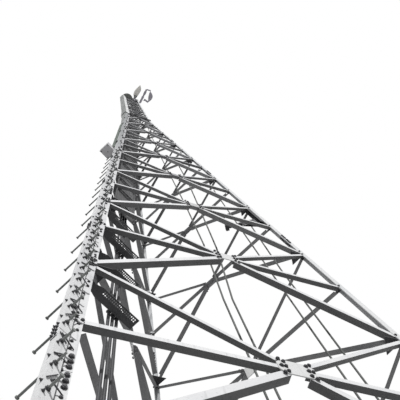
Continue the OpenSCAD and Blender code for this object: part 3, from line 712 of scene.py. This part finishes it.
# Painted shade: trays and feeder clamps are near-black for the shade under them, lighter from 9 m to 15 m up.
tray_painted_shade = zinc_finish("tray_painted_shade", (0.105, 0.105, 0.108), (0.075, 0.075, 0.078), (0.03, 0.03, 0.03),
                        rough=0.62)
height_fade(tray_painted_shade, 9.0, 15.0, (0.19, 0.19, 0.193))
one_tray = bpy.data.objects.new("one_tray", punched_sheet())
row_tree = tray_tree(one_tray)
for part, counts in (("low", range(0, LOW_TRAYS)), ("high", range(LOW_TRAYS, TRAY_COUNT))):
    posts = bpy.data.meshes.new("tray_posts")
    posts.from_pydata([tray_place(k).translation for k in counts], [], [])
    trays = grown_mesh(f"trays_{part}", posts, row_tree,
                       {"Turn": tray_place(0).to_euler(), "Finish": tray_painted_shade})
    fit_piece(f"trays_{part}", trays, tray_painted_shade, (f"feeder_brackets_{part}",))
bpy.data.objects.remove(one_tray)
root_seats = [(tray_place(k), (0.0, y, 0.0), (-1, 0, 0)) for k in range(TRAY_COUNT) for y in (-0.034, 0.034)]
bolt_set("tray_bolts", root_seats, 0.014, 0.008, bolt_and_shade_zinc)

SHEET_LOW, SHEET_LONG, SHEET_HIGH, SHEET_GAP = 9.9, 1.85, 27.3, 0.006
SHEET_INNER, SHEET_OUTER, SHEET_FOLD = -0.560, -0.150, 0.015
sheets, low = bmesh.new(), SHEET_LOW
while low < SHEET_HIGH:
    high = min(low + SHEET_LONG - SHEET_GAP, SHEET_HIGH)
    add_block(sheets, climb, (SHEET_INNER, 0.012, low * up), (SHEET_OUTER, 0.015, high * up), 0.001)
    for inner in (SHEET_INNER, SHEET_OUTER - SHEET_FOLD):
        add_block(sheets, climb, (inner, 0.0152, low * up), (inner + SHEET_FOLD, 0.036, high * up), 0.001)
    low += SHEET_LONG
sheet_zinc = zinc_finish("sheet_zinc", (0.095, 0.095, 0.097), (0.065, 0.065, 0.067), (0.26, 0.26, 0.26),
                         rough=0.62)
fit_built("tray_back_sheets", sheets, sheet_zinc)

jacket = zinc_finish("jacket", (0.050, 0.050, 0.054), (0.038, 0.038, 0.040), (0.09, 0.09, 0.085), rough=0.5)
jacket.node_tree.nodes["Principled BSDF"].inputs["Metallic"].default_value = 0.0
dress(jacket, "feeder_cables")
FEEDER_FIRST, FEEDER_PITCH, CLAMP_LIFT = -0.390, 0.048, 0.055
clamps = bmesh.new()
for k in range(TRAY_COUNT):
    place = climb @ Matrix.Translation((0, 0, (TRAY_FIRST + k * TRAY_STEP) * up + CLAMP_LIFT))
    for feeder in range(3):
        x = FEEDER_FIRST - FEEDER_PITCH * feeder
        add_block(clamps, place, (x - 0.020, -0.096, -0.016), (x + 0.020, -0.0565, 0.016), 0.003)
    add_block(clamps, place, (-0.512, -0.0565, -0.012), (-0.364, -0.0500, 0.012), 0.001)
fit_built("feeder_clamps", clamps, tray_painted_shade)


# ---- Box, riser duct, hood and cover ----
# Painted sheet box on two blocks, with an overlapping door, hinges, a latch, a lid and a gland plate.
# The folded duct and cover have riveted lap joints, straps to the stile and a folded apron at the bend.
def paint_finish(name, fresh, faded, stain, rough=0.55, stain_power=0.4):
    """Weathered paint on sheet: faded clouds, specks, streaks of run-off and fine orange peel."""
    made = zinc_finish(name, fresh, faded, stain, rough=rough, spangle=0.0)
    shader = made.node_tree.nodes["Principled BSDF"]
    shader.inputs["Metallic"].default_value = 0.0
    colour = Tone(made.node_tree, shader.inputs["Base Color"].links[0].from_socket)
    place = colour.node("ShaderNodeTexCoord", out="Object")
    tall = colour.node("ShaderNodeMapping", {}, {"Vector": place, "Scale": (26.0, 26.0, 0.35)})
    runs = colour.node("ShaderNodeTexNoise", {}, {"Vector": tall, "Scale": 1.0, "Detail": 3.0})
    made.node_tree.links.new((runs.band(0.45, 0.62) * stain_power).paint(colour, (*stain, 1.0)).socket,
                             shader.inputs["Base Color"])
    return made


box_paint = paint_finish("box_paint", (0.65, 0.64, 0.65), (0.60, 0.59, 0.60), (0.48, 0.48, 0.48),
                         stain_power=0.12)
duct_paint = paint_finish("duct_paint", (0.100, 0.128, 0.104), (0.080, 0.102, 0.083), (0.045, 0.057, 0.045))
cover_paint = paint_finish("cover_paint", (0.29, 0.30, 0.295), (0.24, 0.25, 0.245), (0.13, 0.135, 0.13),
                           stain_power=0.6)
dress(box_paint, "junction_box")
dress(duct_paint, "riser_duct")
dress(cover_paint, "top_cover")
# Painted shade: the straps and blocks behind duct, cover and box are near-black.
dress(painted_deep_shade, "duct_clamps")

BOX_LOW, BOX_SIDE, BOX_TALL = 15.400, 0.250, 0.320
HINGE_LIFTS, LAP, GLAND_LOW = (0.050, 0.245), 0.004, -0.0035
box_place = climb @ Matrix.Translation((0.005, -0.325, BOX_LOW * up))
door = bmesh.new()
add_block(door, box_place, (BOX_SIDE + 0.0005, -LAP, -LAP),
          (BOX_SIDE + 0.014, BOX_SIDE + LAP, BOX_TALL + LAP), 0.003)
add_block(door, box_place, (BOX_SIDE + 0.0135, 0.018, 0.018),
          (BOX_SIDE + 0.0165, BOX_SIDE - 0.018, BOX_TALL - 0.018), 0.001)
for lift in HINGE_LIFTS:
    add_block(door, box_place, (BOX_SIDE - 0.016, -0.011, lift),
              (BOX_SIDE + 0.010, -0.0035, lift + 0.028), 0.001)
add_block(door, box_place, (BOX_SIDE + 0.016, BOX_SIDE - 0.036, 0.150),
          (BOX_SIDE + 0.024, BOX_SIDE - 0.020, 0.185), 0.002)
add_block(door, box_place, (LAP, LAP, GLAND_LOW), (BOX_SIDE - LAP, BOX_SIDE - LAP, -0.0003), 0.001)
add_block(door, box_place, (-0.003, -0.003, BOX_TALL + 0.0003),
          (BOX_SIDE + 0.016, BOX_SIDE + 0.003, BOX_TALL + 0.0045), 0.001)
fit_built("box_door", door, box_paint)
box_seats = [(box_place, (x, y, GLAND_LOW), (0, 0, -1)) for x in (0.022, 0.228) for y in (0.022, 0.228)]
box_seats.append((box_place, (0.125, 0.125, GLAND_LOW), (0, 0, -1)))


def join_rings(mesh, rings):
    """Joins rings of as many corners each, one after the other; a pole is a ring of one corner."""
    count = len(rings[0])
    for first, second in zip(rings, rings[1:]):
        for a in range(count):
            b = (a + 1) % count
            mesh.faces.new(list(dict.fromkeys((first[a], first[b], second[b], second[a]))))


def ring_faces(mesh, *outlines):
    """Joins closed rings of points, one after the other, and closes both ends."""
    rings = [[mesh.verts.new(point) for point in ring] for ring in outlines]
    join_rings(mesh, rings)
    mesh.faces.new(rings[0][::-1])
    mesh.faces.new(rings[-1])


def level_ring(place, inner, outer, left, right, height):
    """Four corners of a level rectangle in a leg's frame."""
    corners = ((inner, left), (outer, left), (outer, right), (inner, right))
    return [place @ Vector((x, y, height)) for x, y in corners]


HOOD_LOW, DUCT_LAPS, COVER_LAPS = 22.640, (17.9, 20.3), (2.45, 4.90, 7.35)
laps, lap_seats = bmesh.new(), []
for height in DUCT_LAPS:
    z = height * up
    add_block(laps, climb, (0.0475, -0.1475, z), (0.1125, -0.0355, z + 0.050), 0.001)
    lap_seats += [(climb, (0.1125, y, z + 0.025), (1, 0, 0)) for y in (-0.130, -0.053)]
    lap_seats += [(climb, (x, -0.1475, z + 0.025), (0, -1, 0)) for x in (0.065, 0.095)]
upper_leg = leg_place(0, top=True)
for z in COVER_LAPS:
    add_block(laps, upper_leg, (0.0905, -0.2175, z), (0.1675, 0.0075, z + 0.060), 0.001)
    lap_seats += [(upper_leg, (x, -0.2175, z + 0.030), (0, -1, 0)) for x in (0.105, 0.150)]
    lap_seats += [(upper_leg, (0.1675, y, z + 0.030), (1, 0, 0)) for y in (-0.190, -0.140, -0.080, -0.020)]
low_ring = level_ring(climb, 0.038, 0.098, -0.251, -0.036, HOOD_LOW + 4.40)
bend_ring = level_ring(climb, 0.050, 0.150, -0.287, -0.010, HOOD_LOW + 5.62)
high_ring = level_ring(upper_leg, 0.090, 0.168, -0.218, 0.008, 0.900)
ring_faces(laps, low_ring, bend_ring, high_ring)
fit_built("cover_laps", laps, cover_paint)
bolt_set("sheet_rivets", box_seats + lap_seats, 0.010, 0.002, bolt_and_shade_zinc, tail=0.004)

# ---- Conduits and side arm ----
# Rigid threaded conduits on base plates, coupled at 3 m and all but one at 6 m. A square steel arm
# with an end block stands in from leg B, on a three-cornered bracket and plates inside the flanges;
# arm, bracket and plates are near-black as painted shade for the deep shade inside leg B.
CONDUITS = ((0.310, -0.188, 0.026, (3.0, 6.0)), (0.430, -0.217, 0.026, (3.0, 6.0)),
            (0.903, -0.655, 0.022, (3.0, 6.0)), (1.067, -0.6935, 0.022, (3.0,)))
conduit_zinc = zinc_finish("conduit_zinc", (0.10, 0.105, 0.10), (0.075, 0.08, 0.075), (0.04, 0.04, 0.04),
                           rough=0.55)
dress(conduit_zinc, "inner_conduits")
dress(painted_deep_shade, "side_arm")
SOCKET_SIDES, SOCKET_LONG, SOCKET_SHARE = 20, 0.055, 0.72
couplings = bmesh.new()
for x, y, thick, heights in CONDUITS:
    radius = thick * SOCKET_SHARE
    for height in heights:
        made = bmesh.ops.create_cone(couplings, cap_ends=True, segments=SOCKET_SIDES, radius1=radius,
                                     radius2=radius, depth=SOCKET_LONG, matrix=set_at(x, y, height))
        caps = [f for f in couplings.faces if len(f.verts) == SOCKET_SIDES and f.verts[0] in made["verts"]]
        bmesh.ops.bevel(couplings, geom=[rim for cap in caps for rim in cap.edges], offset=0.002, segments=1)
fit_built("conduit_couplings", couplings, conduit_zinc)

ARM_LEVEL, CHEEK_SEATS, CHEEK_THICK = 11.9, (-0.006, 0.038), 0.008
arm_leg, arm_height = leg_place(1), ARM_LEVEL * up
bracket = bmesh.new()
for y in CHEEK_SEATS:
    corners = ((-0.095, arm_height - 0.034), (-0.430, arm_height - 0.034), (-0.095, arm_height - 0.400))
    cheeks = [[arm_leg @ Vector((x, across, z)) for x, z in corners] for across in (y, y + CHEEK_THICK)]
    ring_faces(bracket, *cheeks)
add_block(bracket, arm_leg, (-0.0900, -0.030, arm_height - 0.430), (-0.0815, 0.070, arm_height - 0.030))
for side in (-1, 1):
    inside = sorted((side * 0.0102, side * 0.0180))
    add_block(bracket, flange_place(1, side, ARM_LEVEL), (0.030, inside[0], -0.360),
              (0.150, inside[1], 0.700), 0.002)
fit_built("arm_bracket", bracket, painted_deep_shade)

# ---- Leaf antenna ----
# A moulded plastic radome in the shape of a leaf, crowned on both faces, cream with grey-green
# stains under a gloss coat, with painted shade on the sides that look away from the light. Two ribs
# and a dark tapering boot hold its root, by a short post.
leaf_place, LEAF_LIT_WAY = set_at(0.203, -0.799, 37.460, math.radians(-83)), (-0.9, -0.2, -0.4)
LEAF_LONG, LEAF_WIDE, LEAF_THICK, LEAF_SWAY = 0.794, 0.316, 0.060, 0.024
LEAF_STATIONS, LEAF_RIM = 36, 20
leaf, rings = bmesh.new(), []
for i in range(1, LEAF_STATIONS):
    along = -1 + 2 * i / LEAF_STATIONS
    wide = LEAF_WIDE / 2 * (1 - along ** 2) ** (0.45 if along < 0 else 1.05) * (1 - 0.10 * along)
    deep = LEAF_THICK / 2 * (1 - along ** 2) ** 0.5
    sway = LEAF_SWAY * math.sin(math.pi * along)
    ring = []
    for a in range(LEAF_RIM):
        turn = math.tau * a / LEAF_RIM
        out = Vector((along * LEAF_LONG / 2, sway + wide * math.cos(turn),
                      LEAF_THICK / 2 + deep * math.copysign(abs(math.sin(turn)) ** 0.7, math.sin(turn))))
        ring.append(leaf.verts.new(leaf_place @ out))
    rings.append(ring)
tips = [[leaf.verts.new(leaf_place @ Vector((end * LEAF_LONG / 2, 0, LEAF_THICK / 2)))] * LEAF_RIM
        for end in (-1, 1)]
join_rings(leaf, [tips[0], *rings, tips[1]])
radome = paint_finish("radome", (0.97, 0.93, 0.86), (0.86, 0.83, 0.75), (0.46, 0.48, 0.40), rough=0.5,
                      stain_power=0.2)
skin = radome.node_tree.nodes["Principled BSDF"]
skin.inputs["Coat Weight"].default_value = 1.0
skin.inputs["Coat IOR"].default_value = 2.2
skin.inputs["Coat Roughness"].default_value = 0.25
# Painted shade: the radome keeps 32% of its colour on the sides that look away from its lit way.
paint_shade_by_facing(radome, 0.32, LEAF_LIT_WAY, start=0.15, full=-0.35)
fit_built("leaf_radome", leaf, radome, ("panel_antenna",), smooth=True)
ribs = bmesh.new()
for across in (-0.040, 0.040):
    add_block(ribs, leaf_place, (-0.395, across - 0.006, -0.002), (-0.150, across + 0.006, 0.010))
BOOT_RINGS = ((-0.270, 0.100, 0.004, 0.056), (-0.360, 0.082, -0.004, 0.064), (-0.500, 0.046, 0.000, 0.066))
boot = [[leaf_place @ Vector(p) for p in ((x, -y, low), (x, y, low), (x, y, high), (x, -y, high))]
        for x, y, low, high in BOOT_RINGS]
ring_faces(ribs, *boot)
boot_paint = paint_finish("boot_paint", (0.20, 0.23, 0.18), (0.15, 0.17, 0.14), (0.07, 0.08, 0.065),
                          rough=0.6)
fit_built("leaf_boot", ribs, boot_paint)

# ---- Dish and gooseneck ----
# A spun metal dish with a rolled rim and a thin front cover, at the end of a bent tube from leg B.
# The tube has sleeves on its lengths and a bolted joint block, and a bracket hooks the dish's rim.
DISH_HEIGHT, DISH_ROUND, DISH_DEEP, DISH_SIDES = 36.300, 0.320, 0.200, 56
TUBE_TURN, HOOK_TURN = math.radians(-80), math.radians(20)
dish_place = set_at(0.843, -0.777, DISH_HEIGHT, math.radians(-6))
grey_dish = paint_finish("grey_dish", (0.54, 0.515, 0.57), (0.45, 0.43, 0.48), (0.26, 0.25, 0.28), rough=0.5,
                         stain_power=0.2)


def spun(mesh, place, outline, sides):
    """Spins an outline of (out along the axis, radius) pairs round a frame's x axis into a closed skin."""
    rings = []
    for along, radius in outline:
        if radius == 0:
            rings.append([mesh.verts.new(place @ Vector((along, 0, 0)))] * sides)
        else:
            rings.append([mesh.verts.new(place @ Vector((along, radius * math.cos(math.tau * a / sides),
                                                         radius * math.sin(math.tau * a / sides))))
                          for a in range(sides)])
    join_rings(mesh, rings)


dish = bmesh.new()
back = [(DISH_DEEP - DISH_DEEP * (r / DISH_ROUND) ** 2 - 0.004, r)
        for r in (0.0, 0.06, 0.12, 0.18, 0.24, 0.28, 0.300)]
rim = [(0.012, 0.3175), (0.004, 0.3195), (-0.004, 0.3180)]
front = [(-0.004, 0.312), (-0.020, 0.240), (-0.034, 0.160), (-0.044, 0.080), (-0.048, 0.0)]
spun(dish, dish_place, back + rim + front, DISH_SIDES)
fit_built("dish_shell", dish, grey_dish, ("reflector",), smooth=True)

dress(grey_dish, "antenna_arms")
hub = bmesh.new()
BLOCK_HALF = 0.062
joint_block = set_at(0.548, -0.900, DISH_HEIGHT, TUBE_TURN)
add_block(hub, joint_block, (-0.085, -BLOCK_HALF, -BLOCK_HALF), (0.085, BLOCK_HALF, BLOCK_HALF), 0.008)
add_block(hub, joint_block, (-0.115, -0.030, -0.075), (-0.085, 0.030, 0.075), 0.004)
collar = set_at(0.506, -0.659, DISH_HEIGHT, TUBE_TURN)
add_block(hub, collar, (-0.050, -0.070, -0.052), (0.012, 0.070, 0.052), 0.006)
rim_hook = set_at(0.812, -0.470, DISH_HEIGHT, HOOK_TURN)
add_block(hub, rim_hook, (-0.210, -0.050, -0.050), (0.060, 0.044, 0.050), 0.004)
add_block(hub, rim_hook, (-0.210, 0.012, -0.050), (-0.160, 0.085, 0.050), 0.004)
TUBE_BENDS = ((0.443, -0.300), (0.506, -0.659), (0.586, -1.116), (0.833, -1.118))
SLEEVES = (0.062, 0.050, 0.036)
tube_points = [MIDDLE + Vector((*bend, DISH_HEIGHT)) for bend in TUBE_BENDS]
for start, end, radius in zip(tube_points, tube_points[1:], SLEEVES):
    add_rod(hub, start, end, radius, 18)
fit_built("arm_fittings", hub, grey_dish)
arm_seats = [(joint_block, (x, y, BLOCK_HALF), (0, 0, 1)) for x in (-0.055, 0.055) for y in (-0.040, 0.040)]
bolt_set("arm_bolts", arm_seats, 0.012, BLOCK_HALF * 2, bolt_and_shade_zinc, tail=0.010)
